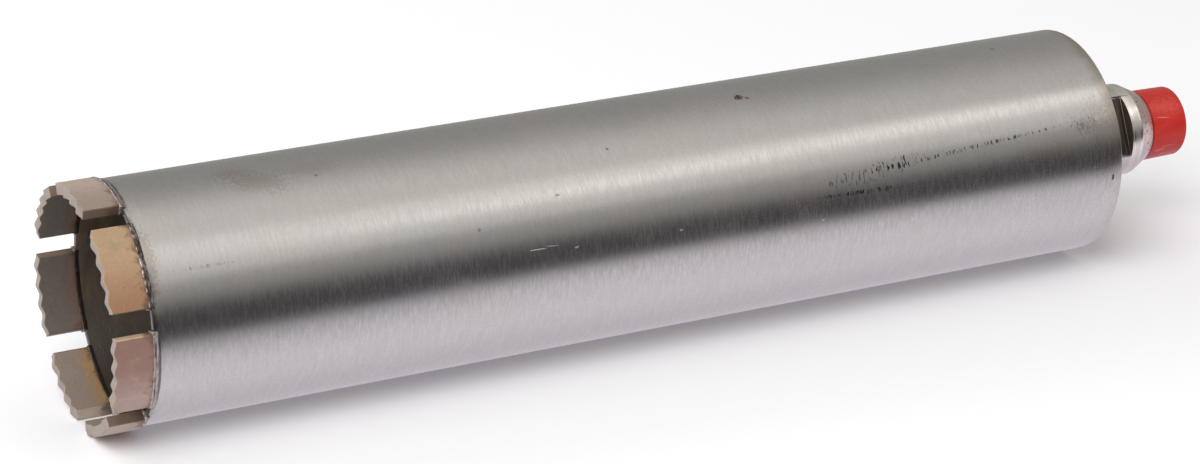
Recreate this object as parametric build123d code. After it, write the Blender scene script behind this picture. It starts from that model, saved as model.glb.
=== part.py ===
from build123d import *
import math
import os

# Diamond core bit: a thin steel barrel, closed at one end by a welded plate that carries
# a threaded connector, and crowned at the open end with brazed diamond segments.
#
# Frame, in millimetres: the X axis is the axis of the bit and points out of the threaded
# end, +Z is up with the bit lying down, and the origin is on the axis at the shoulder
# where the spindle thread begins. Angles round the axis are counted from +Z, and a
# positive one turns towards -Y. One segment is uppermost, so with an odd number of
# segments the bit lies across the slot between the two lowest ones.

# ---------------------------------------------------------------- driving dimensions
# Barrel
BARREL_OUTER_RADIUS = 35.3
BARREL_WALL = 2.0
BARREL_LENGTH = 316.5
BARREL_EDGE_BREAK = 0.4

# Crown segments: lengths are along the arc at half thickness
SEGMENT_COUNT = 7
SEGMENT_LENGTH = 24.0
SEGMENT_HEIGHT = 10.5
SEGMENT_PROUD_OUTSIDE = 0.7
SEGMENT_PROUD_INSIDE = 0.5
WAVE_PITCH = 5.7
WAVE_HEIGHT = 0.75

# Silver-solder joint under each segment
BRAZE_THICKNESS = 0.6
BRAZE_TOE_OUTSIDE = 1.2
BRAZE_TOE_INSIDE = 0.8
BRAZE_OVERRUN = 0.5

# Back plate, set a little inside the end of the barrel
PLATE_THICKNESS = 8.0
PLATE_RECESS = 1.5
PLATE_EDGE_BREAK = 0.6
TUBE_WELD_REACH = 2.2
HUB_WELD_LEG = 2.5

# Connector: a turned collar with two spanner flats, a cone and a G 1/2 male thread
SPIGOT_RADIUS = 11.0
COLLAR_RADIUS = 14.75
COLLAR_LENGTH = 24.1
COLLAR_BAND_LENGTH = 4.0
COLLAR_EDGE_BREAK = 0.9
CONE_LENGTH = 6.2
SHOULDER_RADIUS = 11.45
SPANNER_SIZE = 22.0
SPANNER_FLAT_LENGTH = 15.0
SPANNER_FLAT_ANGLE = 64.5
THREAD_MAJOR_RADIUS = 20.955 / 2
THREAD_MINOR_RADIUS = 18.631 / 2
THREAD_LENGTH = 12.0
THREAD_RELIEF_LENGTH = 1.8
WATER_BORE_RADIUS = 5.0
WATER_BORE_BREAK = 0.8

# Push-on plastic thread cap
CAP_WALL = 0.92
CAP_END_WALL = 1.0
CAP_END_CLEARANCE = 0.3
CAP_DRAFT = 1.0
CAP_EDGE_BREAK = 0.6

# ---------------------------------------------------------------- derived sizes
BARREL_INNER_RADIUS = BARREL_OUTER_RADIUS - BARREL_WALL
CROWN_OUTER_RADIUS = BARREL_OUTER_RADIUS + SEGMENT_PROUD_OUTSIDE
CROWN_INNER_RADIUS = BARREL_INNER_RADIUS - SEGMENT_PROUD_INSIDE
CROWN_MEAN_RADIUS = (CROWN_OUTER_RADIUS + CROWN_INNER_RADIUS) / 2
SEGMENT_ARC = math.degrees(SEGMENT_LENGTH / CROWN_MEAN_RADIUS)
SEGMENT_STEP = 360.0 / SEGMENT_COUNT
BRAZE_ARC = math.degrees((SEGMENT_LENGTH + 2 * BRAZE_OVERRUN) / CROWN_MEAN_RADIUS)
THREAD_DEPTH = THREAD_MAJOR_RADIUS - THREAD_MINOR_RADIUS

# Stations along the axis, from the thread towards the crown
SHOULDER_X = 0.0
THREAD_END_X = SHOULDER_X + THREAD_LENGTH
CONE_START_X = SHOULDER_X - CONE_LENGTH
PLATE_REAR_X = CONE_START_X - COLLAR_LENGTH
PLATE_FRONT_X = PLATE_REAR_X - PLATE_THICKNESS
BARREL_REAR_X = PLATE_REAR_X + PLATE_RECESS
BARREL_RIM_X = BARREL_REAR_X - BARREL_LENGTH
SEGMENT_FOOT_X = BARREL_RIM_X - BRAZE_THICKNESS
WAVE_VALLEY_X = SEGMENT_FOOT_X - SEGMENT_HEIGHT
WAVE_CREST_X = WAVE_VALLEY_X - WAVE_HEIGHT


# ---------------------------------------------------------------- shared operations
def turned(*edges, arc=360.0, centre_angle=0.0):
    """Turn a closed profile in the XZ plane about the bit's axis.

    A part turn is centred on centre_angle, counted from +Z towards -Y.
    """
    profile = make_face(Curve() + list(edges))
    solid = revolve(profile, axis=Axis.X, revolution_arc=arc)
    start = centre_angle - arc / 2 if arc < 360.0 else 0.0
    return Rot(X=start) * solid


def at(x, radius):
    """Point of a profile: a station along the axis and a distance from it."""
    return (x, 0.0, radius)


def outline(*points):
    """Straight profile edges from each point to the next."""
    return [Line(a, b) for a, b in zip(points, points[1:])]


def rod(start_x, end_x, radius):
    """Solid cylinder on the bit's axis."""
    return Pos(X=(start_x + end_x) / 2) * Rot(Y=90) * Cylinder(radius, end_x - start_x)


# ---------------------------------------------------------------- barrel and its end
def make_barrel():
    """Drawn steel tube, with the edges of its rear end broken."""
    tube = rod(BARREL_RIM_X, BARREL_REAR_X, BARREL_OUTER_RADIUS)
    tube -= rod(BARREL_RIM_X, BARREL_REAR_X, BARREL_INNER_RADIUS)
    rear_edges = tube.edges().filter_by(GeomType.CIRCLE).group_by(Axis.X)[-1]
    return chamfer(rear_edges.sort_by(SortBy.RADIUS)[-1], BARREL_EDGE_BREAK)


def make_back_plate():
    """Disc that closes the barrel and is bored for the connector's spigot."""
    disc = rod(PLATE_FRONT_X, PLATE_REAR_X, BARREL_INNER_RADIUS)
    front_edge = disc.edges().filter_by(GeomType.CIRCLE).group_by(Axis.X)[0]
    disc = chamfer(front_edge, PLATE_EDGE_BREAK)
    return disc - rod(PLATE_FRONT_X, PLATE_REAR_X, SPIGOT_RADIUS)


def make_tube_weld():
    """Weld run in the corner between the barrel's end and the back plate."""
    root = at(PLATE_REAR_X, BARREL_INNER_RADIUS)
    lip = at(BARREL_REAR_X, BARREL_INNER_RADIUS)
    toe = at(PLATE_REAR_X, BARREL_INNER_RADIUS - TUBE_WELD_REACH)
    return turned(*outline(toe, root, lip, toe))


def make_hub_weld():
    """Fillet weld round the foot of the connector's collar."""
    root = at(PLATE_REAR_X, COLLAR_RADIUS)
    collar_toe = at(PLATE_REAR_X + HUB_WELD_LEG, COLLAR_RADIUS)
    plate_toe = at(PLATE_REAR_X, COLLAR_RADIUS + HUB_WELD_LEG)
    return turned(*outline(collar_toe, root, plate_toe, collar_toe))


# ---------------------------------------------------------------- connector and cap
def make_connector():
    """Turned connector: spigot, collar with spanner flats, cone, thread and water bore."""
    body = turned(
        *outline(
            at(PLATE_FRONT_X, WATER_BORE_RADIUS),
            at(PLATE_FRONT_X, SPIGOT_RADIUS),
            at(PLATE_REAR_X, SPIGOT_RADIUS),
            at(PLATE_REAR_X, COLLAR_RADIUS),
            at(CONE_START_X, COLLAR_RADIUS),
            at(SHOULDER_X, SHOULDER_RADIUS),
            at(SHOULDER_X, THREAD_MINOR_RADIUS),
            at(SHOULDER_X + THREAD_RELIEF_LENGTH, THREAD_MINOR_RADIUS),
            at(SHOULDER_X + THREAD_RELIEF_LENGTH + THREAD_DEPTH, THREAD_MAJOR_RADIUS),
            at(THREAD_END_X - THREAD_DEPTH, THREAD_MAJOR_RADIUS),
            at(THREAD_END_X, THREAD_MINOR_RADIUS),
            at(THREAD_END_X, WATER_BORE_RADIUS + WATER_BORE_BREAK),
            at(THREAD_END_X - WATER_BORE_BREAK, WATER_BORE_RADIUS),
            at(PLATE_FRONT_X, WATER_BORE_RADIUS),
        )
    )
    cone_edge = body.edges().filter_by(GeomType.CIRCLE).filter_by_position(
        Axis.X, CONE_START_X, CONE_START_X
    )
    body = chamfer(cone_edge, COLLAR_EDGE_BREAK)
    flat_end_x = CONE_START_X - COLLAR_BAND_LENGTH
    cutter_depth = COLLAR_RADIUS
    cutter = Box(SPANNER_FLAT_LENGTH, 2 * COLLAR_RADIUS, cutter_depth)
    for side in (0, 180):
        place = Rot(X=SPANNER_FLAT_ANGLE + side) * Pos(
            flat_end_x - SPANNER_FLAT_LENGTH / 2, 0, (SPANNER_SIZE + cutter_depth) / 2
        )
        body -= place * cutter
    return body


def make_thread_cap():
    """Moulded cup that is pushed over the thread as far as the shoulder."""
    inner_end_x = THREAD_END_X + CAP_END_CLEARANCE
    outer_end_x = inner_end_x + CAP_END_WALL
    mouth_radius = THREAD_MAJOR_RADIUS + CAP_WALL
    end_radius = mouth_radius - (outer_end_x - SHOULDER_X) * math.tan(math.radians(CAP_DRAFT))
    cup = turned(
        *outline(
            at(SHOULDER_X, THREAD_MAJOR_RADIUS),
            at(SHOULDER_X, mouth_radius),
            at(outer_end_x, end_radius),
            at(outer_end_x, 0.0),
            at(inner_end_x, 0.0),
            at(inner_end_x, THREAD_MAJOR_RADIUS),
            at(SHOULDER_X, THREAD_MAJOR_RADIUS),
        )
    )
    end_edge = cup.edges().filter_by(GeomType.CIRCLE).group_by(Axis.X)[-1]
    return chamfer(end_edge, CAP_EDGE_BREAK)


# ---------------------------------------------------------------- crown
def annular_sector(near_x, far_x, arc):
    """Block of the crown's ring, centred on the uppermost point."""
    return turned(
        *outline(
            at(near_x, CROWN_INNER_RADIUS),
            at(near_x, CROWN_OUTER_RADIUS),
            at(far_x, CROWN_OUTER_RADIUS),
            at(far_x, CROWN_INNER_RADIUS),
            at(near_x, CROWN_INNER_RADIUS),
        ),
        arc=arc,
    )


def wave_edges(half_waves):
    """Row of equal arcs across the bit, a valley in the middle and crests beside it.

    half_waves is the number of arcs on each side of the middle one.
    """
    level_x = (WAVE_VALLEY_X + WAVE_CREST_X) / 2
    quarter = WAVE_PITCH / 4
    edges = []
    for index in range(-half_waves, half_waves + 1):
        middle_y = index * WAVE_PITCH / 2
        extreme_x = WAVE_VALLEY_X if index % 2 == 0 else WAVE_CREST_X
        edges.append(
            ThreePointArc(
                (level_x, middle_y - quarter), (extreme_x, middle_y), (level_x, middle_y + quarter)
            )
        )
    return edges


def make_segment():
    """Uppermost diamond segment: a ring block whose cutting edge is cut in waves."""
    block = annular_sector(WAVE_CREST_X, SEGMENT_FOOT_X, SEGMENT_ARC)
    half_waves = math.ceil(SEGMENT_LENGTH / WAVE_PITCH) + 1
    waves = wave_edges(half_waves)
    first = waves[0] @ 0
    last = waves[-1] @ 1
    back_x = SEGMENT_FOOT_X
    sides = [
        Line(last, (back_x, last.Y)),
        Line((back_x, last.Y), (back_x, first.Y)),
        Line((back_x, first.Y), first),
    ]
    face = make_face(Curve() + waves + sides)
    return block & extrude(face, amount=CROWN_OUTER_RADIUS, dir=(0, 0, 1))


def make_braze():
    """Joint under the uppermost segment, with a bead in the corner on both sides."""
    outer_foot = at(SEGMENT_FOOT_X, CROWN_OUTER_RADIUS)
    inner_foot = at(SEGMENT_FOOT_X, CROWN_INNER_RADIUS)
    outer_toe = at(BARREL_RIM_X + BRAZE_TOE_OUTSIDE, BARREL_OUTER_RADIUS)
    inner_toe = at(BARREL_RIM_X + BRAZE_TOE_INSIDE, BARREL_INNER_RADIUS)
    outer_rim = at(BARREL_RIM_X, BARREL_OUTER_RADIUS)
    inner_rim = at(BARREL_RIM_X, BARREL_INNER_RADIUS)
    return turned(
        *outline(
            inner_foot, outer_foot, outer_toe, outer_rim, inner_rim, inner_toe, inner_foot
        ),
        arc=BRAZE_ARC,
    )


def around_crown(piece, name):
    """Copies of an uppermost piece, one for each place on the crown, by node name."""
    return {
        f"{name}_{index + 1}": Rot(X=index * SEGMENT_STEP) * piece
        for index in range(SEGMENT_COUNT)
    }


# ---------------------------------------------------------------- all pieces
pieces = {
    "barrel": make_barrel(),
    "back_plate": make_back_plate(),
    "tube_weld": make_tube_weld(),
    "connector": make_connector(),
    "hub_weld": make_hub_weld(),
    "thread_cap": make_thread_cap(),
}
pieces |= around_crown(make_segment(), "segment")
pieces |= around_crown(make_braze(), "braze")

os.makedirs("parts", exist_ok=True)
for node, solid in pieces.items():
    export_step(solid, f"parts/{node}.step")
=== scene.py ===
"""Diamond core bit: the dressed model, its studio and its camera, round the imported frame.

All lengths are metres in the part's own frame: the X axis is the axis of the bit and
points out of the threaded end, the origin is on the axis at the thread's shoulder, and
+Z is up with the bit lying down. Angles round the axis are degrees from +Z, and a
positive one turns towards -Y.
"""
from __future__ import annotations

import logging
import math
from dataclasses import dataclass, field
from enum import Enum
from typing import Callable, Iterable, Sequence

import bpy
from mathutils import Matrix, Vector


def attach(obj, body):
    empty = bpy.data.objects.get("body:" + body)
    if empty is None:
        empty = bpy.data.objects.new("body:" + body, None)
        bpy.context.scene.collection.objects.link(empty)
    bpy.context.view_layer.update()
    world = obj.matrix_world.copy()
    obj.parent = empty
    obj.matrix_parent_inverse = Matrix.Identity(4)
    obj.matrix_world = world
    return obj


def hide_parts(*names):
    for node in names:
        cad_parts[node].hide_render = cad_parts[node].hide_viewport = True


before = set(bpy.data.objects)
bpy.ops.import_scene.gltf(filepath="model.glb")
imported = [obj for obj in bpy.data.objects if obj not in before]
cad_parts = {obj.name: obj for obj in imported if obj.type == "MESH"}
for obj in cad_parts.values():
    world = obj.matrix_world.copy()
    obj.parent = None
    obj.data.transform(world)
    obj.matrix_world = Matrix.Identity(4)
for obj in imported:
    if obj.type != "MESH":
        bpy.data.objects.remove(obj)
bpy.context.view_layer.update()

log = logging.getLogger("core_bit")

Point = tuple[float, float]
Triple = tuple[float, float, float]
Colour = Triple
Piece = bpy.types.Object
Material = bpy.types.Material
Socket = bpy.types.NodeSocket
Surface = tuple[object, object, object]    # colour, roughness and normal

BODY = "root"
ORIGIN = (0.0, 0.0, 0.0)
EVEN = (1.0, 1.0, 1.0)
MERGE = 1e-6             # vertices closer than this are one
SLACK = 0.00001          # what is this far past a limit still counts
ALIGNED = 0.999          # cosine above which two directions are one

# Stations along the axis that several pieces share
SHOULDER_X = 0.0
THREAD_END_X = 0.0120
CONE_START_X = -0.0062
PLATE_REAR_X = -0.0303
PLATE_FRONT_X = -0.0383
BARREL_REAR_X = -0.0288
BARREL_RIM_X = -0.3453
SEGMENT_FOOT_X = -0.3459

# Radii that several pieces share
BARREL_OUTER_RADIUS = 0.0353
BARREL_INNER_RADIUS = 0.0333
CROWN_OUTER_RADIUS = 0.0360
CROWN_INNER_RADIUS = 0.0328
COLLAR_RADIUS = 0.01475
SPIGOT_RADIUS = 0.0110
THREAD_MAJOR_RADIUS = 0.0104775
THREAD_MINOR_RADIUS = 0.0093155
WATER_BORE_RADIUS = 0.0050

SEGMENT_COUNT = 7
HAND_PLACING = (0.0, 0.0, 0.0, 0.0, 1.2, -0.6, -0.6)    # degrees off the even pitch
FLOOR_Z = -0.0359
SCRATCH = (0.95, 0.93, 0.90)
SCUFF = (0.92, 0.90, 0.87)
PALEST_STAIN = 0.8       # a mark paler than this is a bright scratch


# ------------------------------------------------------------------ modelling bench
class Bench:
    """Hand operations of the modeller that every maker uses."""

    @staticmethod
    def clear() -> None:
        """Leave edit mode and deselect everything."""
        if bpy.context.object is not None and bpy.context.object.mode != "OBJECT":
            bpy.ops.object.mode_set(mode="OBJECT")
        bpy.ops.object.select_all(action="DESELECT")

    @staticmethod
    def take(*pieces: Piece) -> None:
        """Select some pieces and nothing else.

        Args:
            *pieces: The pieces, of which the first becomes active.
        """
        Bench.clear()
        for piece in pieces:
            piece.select_set(True)
        bpy.context.view_layer.objects.active = pieces[0]

    @staticmethod
    def edit(piece: Piece) -> None:
        """Open a piece in edit mode with nothing selected.

        Args:
            piece: The object to open.
        """
        Bench.take(piece)
        bpy.ops.object.mode_set(mode="EDIT")
        bpy.ops.mesh.select_mode(type="VERT")
        bpy.ops.mesh.select_all(action="DESELECT")

    @staticmethod
    def pick(piece: Piece, chosen: Callable[[Vector], bool]) -> None:
        """Select the vertices of a piece in edit mode by their place.

        Args:
            piece: The object open in edit mode.
            chosen: Says of a vertex's place whether to select it.
        """
        bpy.ops.mesh.select_all(action="DESELECT")
        bpy.ops.object.mode_set(mode="OBJECT")
        for vertex in piece.data.vertices:
            vertex.select = chosen(vertex.co)
        bpy.ops.object.mode_set(mode="EDIT")

    @staticmethod
    def settle() -> None:
        """Merge doubles, point the faces outwards and leave edit mode."""
        bpy.ops.mesh.select_all(action="SELECT")
        bpy.ops.mesh.remove_doubles(threshold=MERGE)
        bpy.ops.mesh.dissolve_degenerate(threshold=MERGE)
        bpy.ops.mesh.select_all(action="SELECT")
        bpy.ops.mesh.normals_make_consistent(inside=False)
        bpy.ops.object.mode_set(mode="OBJECT")

    @staticmethod
    def modify(piece: Piece, kind: str, **settings: object) -> None:
        """Give a piece one modifier and apply it.

        Args:
            piece: The object to work on.
            kind: Blender's name of the modifier's type.
            **settings: Properties of the modifier.
        """
        Bench.take(piece)
        modifier = piece.modifiers.new(kind.lower(), kind)
        for key, value in settings.items():
            setattr(modifier, key, value)
        bpy.ops.object.modifier_apply(modifier=modifier.name)

    @staticmethod
    def soften(piece: Piece, width: float, steps: int, angle: float) -> None:
        """Bevel the edges sharper than an angle in degrees."""
        Bench.modify(piece, "BEVEL", limit_method="ANGLE", angle_limit=math.radians(angle),
                     width=width, segments=steps, use_clamp_overlap=True)

    @staticmethod
    def roughen(piece: Piece, size: float, height: float, depth: int) -> None:
        """Push the surface in and out with a cloud pattern.

        Args:
            piece: The object to work on.
            size: Size of the pattern's clouds.
            height: Full height of the relief.
            depth: Octaves of the pattern.
        """
        clouds = bpy.data.textures.new(piece.name + "_relief", "CLOUDS")
        clouds.noise_scale, clouds.noise_depth = size, depth
        Bench.modify(piece, "DISPLACE", texture=clouds, texture_coords="LOCAL",
                     strength=height, mid_level=0.5)

    @staticmethod
    def cut(piece: Piece, tool: Piece) -> None:
        """Cut a tool out of a piece and drop the tool."""
        Bench.modify(piece, "BOOLEAN", operation="DIFFERENCE", solver="EXACT", object=tool)
        bpy.data.objects.remove(tool, do_unlink=True)

    @staticmethod
    def smooth(piece: Piece, angle: float) -> None:
        """Shade a piece smooth, apart from edges sharper than the angle."""
        Bench.take(piece)
        bpy.ops.object.shade_smooth_by_angle(angle=math.radians(angle))

    @staticmethod
    def shape(piece: Piece, scale: Triple, place: Triple, tilt: float = 0.0) -> None:
        """Stretch, tilt and move a piece, and put all of it into the mesh.

        Args:
            piece: The object to shape.
            scale: Stretch along each axis.
            place: Move from the origin.
            tilt: Turn about the X axis in degrees.
        """
        Bench.take(piece)
        piece.scale, piece.location = scale, place
        piece.rotation_euler = (math.radians(tilt), 0.0, 0.0)
        bpy.ops.object.transform_apply(location=True, rotation=True, scale=True)

    @staticmethod
    def turn(piece: Piece, degrees: float) -> None:
        """Turn a piece about the bit's axis."""
        Bench.shape(piece, EVEN, ORIGIN, degrees)

    @staticmethod
    def copy(piece: Piece, name: str, degrees: float) -> Piece:
        """Copy a piece with a mesh of its own and turn the copy about the axis.

        Args:
            piece: The pattern piece.
            name: Name of the copy.
            degrees: Turn from the pattern's place.

        Returns:
            The copy.
        """
        twin = piece.copy()
        twin.data = piece.data.copy()
        twin.name = twin.data.name = name
        bpy.context.scene.collection.objects.link(twin)
        Bench.turn(twin, degrees)
        return twin

    @staticmethod
    def fresh(adder: Callable[..., object], name: str, **settings: object) -> Piece:
        """Add a primitive at the origin and name it.

        Args:
            adder: The operator that adds it.
            name: Name of the piece.
            **settings: Settings of the operator.

        Returns:
            The new object.
        """
        Bench.clear()
        adder(location=ORIGIN, **settings)
        piece = bpy.context.object
        piece.name = piece.data.name = name
        return piece

    @staticmethod
    def outline(name: str, profile: Iterable[Point]) -> Piece:
        """Draw a profile as a chain of edges and leave it open in edit mode.

        Args:
            name: Name of the piece.
            profile: Points as (station, radius).

        Returns:
            The new object.
        """
        points = [Vector((x, 0.0, radius)) for x, radius in profile]
        piece = Bench.fresh(bpy.ops.mesh.primitive_plane_add, name, size=0.001)
        bpy.ops.object.mode_set(mode="EDIT")
        bpy.ops.mesh.select_mode(type="VERT")
        bpy.ops.mesh.select_all(action="SELECT")
        bpy.ops.mesh.merge(type="CENTER")
        bpy.ops.transform.translate(value=points[0])
        for last, point in zip(points, points[1:]):
            bpy.ops.mesh.extrude_vertices_move(
                TRANSFORM_OT_translate={"value": point - last})
        return piece

    @staticmethod
    def spin(steps: int, degrees: float) -> None:
        """Spin all that is open in edit mode about the bit's axis, and settle it.

        Args:
            steps: Facets round the axis.
            degrees: Angle of the spin.
        """
        bpy.ops.mesh.select_all(action="SELECT")
        bpy.ops.mesh.spin(steps=steps, angle=math.radians(degrees), center=ORIGIN,
                          axis=(1.0, 0.0, 0.0))
        Bench.settle()

    @staticmethod
    def turned(name: str, profile: Sequence[Point], steps: int) -> Piece:
        """Turn a closed profile right round the bit's axis.

        Args:
            name: Name of the piece.
            profile: Points as (station, radius).
            steps: Facets round the axis.

        Returns:
            The turned piece, in object mode.
        """
        piece = Bench.outline(name, (*profile, profile[0]))
        Bench.spin(steps, 360.0)
        return piece

    @staticmethod
    def sweep(piece: Piece, arc: float, steps: int) -> None:
        """Spin what is open in edit mode through an arc round the uppermost point.

        Args:
            piece: The object open in edit mode.
            arc: Angle of the sweep in degrees.
            steps: Facets along the sweep.
        """
        Bench.spin(steps, arc)
        lean = angle_of(sum((v.co for v in piece.data.vertices), Vector()))
        Bench.turn(piece, -math.degrees(lean))


def angle_of(place: Vector) -> float:
    """Angle of a place round the axis, in radians from +Z towards -Y."""
    return math.atan2(-place.y, place.z)


def on_ring(x: float, radius: float, turn: float) -> Vector:
    """Point at a station, a radius and an angle in radians round the axis."""
    return Vector((x, -radius * math.sin(turn), radius * math.cos(turn)))


def segment_turn(index: int) -> float:
    """Angle of a segment in degrees, from its place in the row."""
    return index * 360.0 / SEGMENT_COUNT + HAND_PLACING[index]


def spaced(start: float, end: float, count: int) -> list[float]:
    """Evenly spaced values from start to end, both included."""
    return [start + (end - start) * index / (count - 1) for index in range(count)]


# ------------------------------------------------------------------ shader bench
class Graph:
    """Node tree of a material or a group, with short calls for the nodes in use."""

    def __init__(self, tree: bpy.types.NodeTree, space: str = "Object") -> None:
        """Keep the tree that the calls add to, and the place that they draw at.

        Args:
            tree: The node tree.
            space: Output of the coordinates that gives the place.
        """
        self.tree = tree
        self.here = self.node("ShaderNodeTexCoord")[space]

    def found(self, kind: str) -> bpy.types.Node:
        """The node of a type that the tree started with."""
        return next(node for node in self.tree.nodes if node.type == kind)

    def feed(self, socket: Socket, value: object) -> None:
        """Link an output to a socket, or set the socket's own value.

        Args:
            socket: The input to feed.
            value: An output, a number, a colour or a vector.
        """
        if isinstance(value, Socket):
            self.tree.links.new(value, socket)
        elif isinstance(value, tuple) and socket.type == "RGBA":
            socket.default_value = (*value, 1.0)
        else:
            socket.default_value = value

    def node(self, kind: str, inputs: dict[int | str, object] | None = None,
             **settings: object) -> Sequence[Socket]:
        """Add a node, set its properties and feed its inputs.

        Args:
            kind: Blender's name of the node type.
            inputs: Values of the inputs by number or name.
            **settings: Properties of the node.

        Returns:
            The node's outputs.
        """
        new = self.tree.nodes.new(kind)
        for key, value in settings.items():
            setattr(new, key, value)
        for key, value in (inputs or {}).items():
            self.feed(new.inputs[key], value)
        return new.outputs

    def maths(self, operation: str, *values: object) -> Socket:
        """Result of a Math node on outputs or numbers."""
        return self.node("ShaderNodeMath", dict(enumerate(values)), operation=operation)[0]

    def add(self, first: object, second: object) -> Socket:
        """Sum of two values."""
        return self.maths("ADD", first, second)

    def minus(self, first: object, second: object) -> Socket:
        """First value less the second."""
        return self.maths("SUBTRACT", first, second)

    def times(self, first: object, second: object) -> Socket:
        """Product of two values."""
        return self.maths("MULTIPLY", first, second)

    def over(self, first: object, second: object) -> Socket:
        """First value divided by the second."""
        return self.maths("DIVIDE", first, second)

    def most(self, first: object, second: object) -> Socket:
        """The larger of two values."""
        return self.maths("MAXIMUM", first, second)

    def squares(self, first: object, second: object) -> Socket:
        """Sum of the squares of two values."""
        return self.add(self.times(first, first), self.times(second, second))

    def stretched(self, scale: Triple) -> Socket:
        """The place multiplied by a scale for each axis."""
        return self.here if scale == EVEN else self.node(
            "ShaderNodeMapping", {"Vector": self.here, "Scale": scale})[0]

    def noise(self, size: object, detail: float = 2.0, roughness: float = 0.5,
              scale: Triple = EVEN, at: Socket | None = None) -> Socket:
        """Draw a noise texture.

        Args:
            size: Clouds per metre.
            detail: Octaves.
            roughness: Strength of the finer octaves.
            scale: Stretch of the place.
            at: Another place to draw it at.

        Returns:
            Its grey output.
        """
        inputs = {"Vector": at or self.stretched(scale), "Scale": size,
                  "Detail": detail, "Roughness": roughness}
        return self.node("ShaderNodeTexNoise", inputs)["Fac"]

    def cells(self, size: float) -> Socket:
        """Distance output of a Voronoi texture with this many cells per metre."""
        inputs = {"Vector": self.here, "Scale": size}
        return self.node("ShaderNodeTexVoronoi", inputs)["Distance"]

    def span(self, value: object, low: object, high: object, to_low: float = 0.0,
             to_high: float = 1.0) -> Socket:
        """Value mapped smoothly from one range to another, and held at the ends."""
        inputs = dict(enumerate((value, low, high, to_low, to_high)))
        return self.node("ShaderNodeMapRange", inputs, interpolation_type="SMOOTHSTEP")[0]

    def blend(self, factor: object, first: object, second: object,
              kind: str = "MIX") -> Socket:
        """Two colours mixed by a factor."""
        return self.node("ShaderNodeMix", {0: factor, 6: first, 7: second},
                         data_type="RGBA", blend_type=kind)[2]

    def coats(self, colour: object, *coats: tuple[object, object, object]) -> Socket:
        """Lay coats over a colour, one after another.

        Args:
            colour: The colour under them.
            *coats: For each coat its mask, its strength and its colour.

        Returns:
            The colour of it all.
        """
        for mask, strength, tone in coats:
            colour = self.blend(self.times(mask, strength), colour, tone)
        return colour

    def parts(self) -> Sequence[Socket]:
        """X, Y and Z of the place."""
        return self.node("ShaderNodeSeparateXYZ", {0: self.here})

    def polar(self) -> tuple[Socket, Socket, Socket]:
        """Take the place apart round the axis.

        Returns:
            Its station, its radius and its angle in radians.
        """
        x, y, z = self.parts()
        turn = self.maths("ARCTAN2", self.times(y, -1.0), z)
        return x, self.maths("SQRT", self.squares(y, z)), turn

    def bump(self, height: object, distance: float, strength: float,
             over: Socket | None = None) -> Socket:
        """Normal that a height bends.

        Args:
            height: Height of the relief, about 0 to 1.
            distance: Height in metres of a full step.
            strength: Share of the effect.
            over: Normal that this relief lies on.

        Returns:
            The bent normal.
        """
        inputs = {"Height": height, "Distance": distance, "Strength": strength}
        if over is not None:
            inputs["Normal"] = over
        return self.node("ShaderNodeBump", inputs)["Normal"]

    def use(self, tree: bpy.types.NodeTree, **inputs: object) -> Sequence[Socket]:
        """Outputs of a group, fed by input names with spaces written as underscores."""
        named = {key.replace("_", " "): value for key, value in inputs.items()}
        return self.node("ShaderNodeGroup", named, node_tree=tree)

    def brushing(self, pitch: float, run: float) -> Sequence[Socket]:
        """Streak, Fine and Height of the brushing."""
        return self.use(BRUSHING, Place=self.here, Pitch=pitch, Run=run)

    def mottle(self, size: float, spread: float, scale: Triple = EVEN
               ) -> Sequence[Socket]:
        """Patch and Speck of the mottle on a stretched place."""
        return self.use(MOTTLE, Place=self.stretched(scale), Size=size, Spread=spread)


class Group(Graph):
    """A shared effect as a shader node group with a place and values going in."""

    def __init__(self, name: str, inputs: Iterable[str], outputs: Iterable[str]) -> None:
        """Make the group and its sockets.

        Args:
            name: Name of the group.
            inputs: Names of the value inputs.
            outputs: Names of the value outputs.
        """
        self.tree = bpy.data.node_groups.new(name, "ShaderNodeTree")
        sockets = [("Place", "INPUT", "NodeSocketVector"),
                   *((key, "INPUT", "NodeSocketFloat") for key in inputs),
                   *((key, "OUTPUT", "NodeSocketFloat") for key in outputs)]
        for key, side, kind in sockets:
            self.tree.interface.new_socket(key, in_out=side, socket_type=kind)
        self.given = self.node("NodeGroupInput")
        self.here = self.given["Place"]
        self.result = self.tree.nodes.new("NodeGroupOutput").inputs

    def give(self, **values: object) -> bpy.types.NodeTree:
        """Feed the group's outputs.

        Args:
            **values: Values of the outputs by name.

        Returns:
            The group's tree.
        """
        for key, value in values.items():
            self.feed(self.result[key], value)
        return self.tree


def make_brushing() -> bpy.types.NodeTree:
    """Fine streaks that run round the axis.

    Returns:
        Group with Place, Pitch and Run in, and Streak, Fine and Height out. Pitch and Run
        are streaks per metre along the axis and round it.
    """
    group = Group("brushing", ("Pitch", "Run"), ("Streak", "Fine", "Height"))
    rates = [group.given[key] for key in ("Pitch", "Run", "Run")]
    streaks = []
    for factor in (1.0, 3.1):
        joined = group.node("ShaderNodeCombineXYZ", {
            index: group.times(part, group.times(rate, factor))
            for index, (part, rate) in enumerate(zip(group.parts(), rates))})
        streaks.append(group.noise(1.0, 3.0, 0.65, at=joined[0]))
    return group.give(Streak=group.span(streaks[0], 0.3, 0.7),
                      Fine=group.span(streaks[1], 0.3, 0.7),
                      Height=group.add(streaks[0], group.times(streaks[1], 0.4)))


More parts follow.
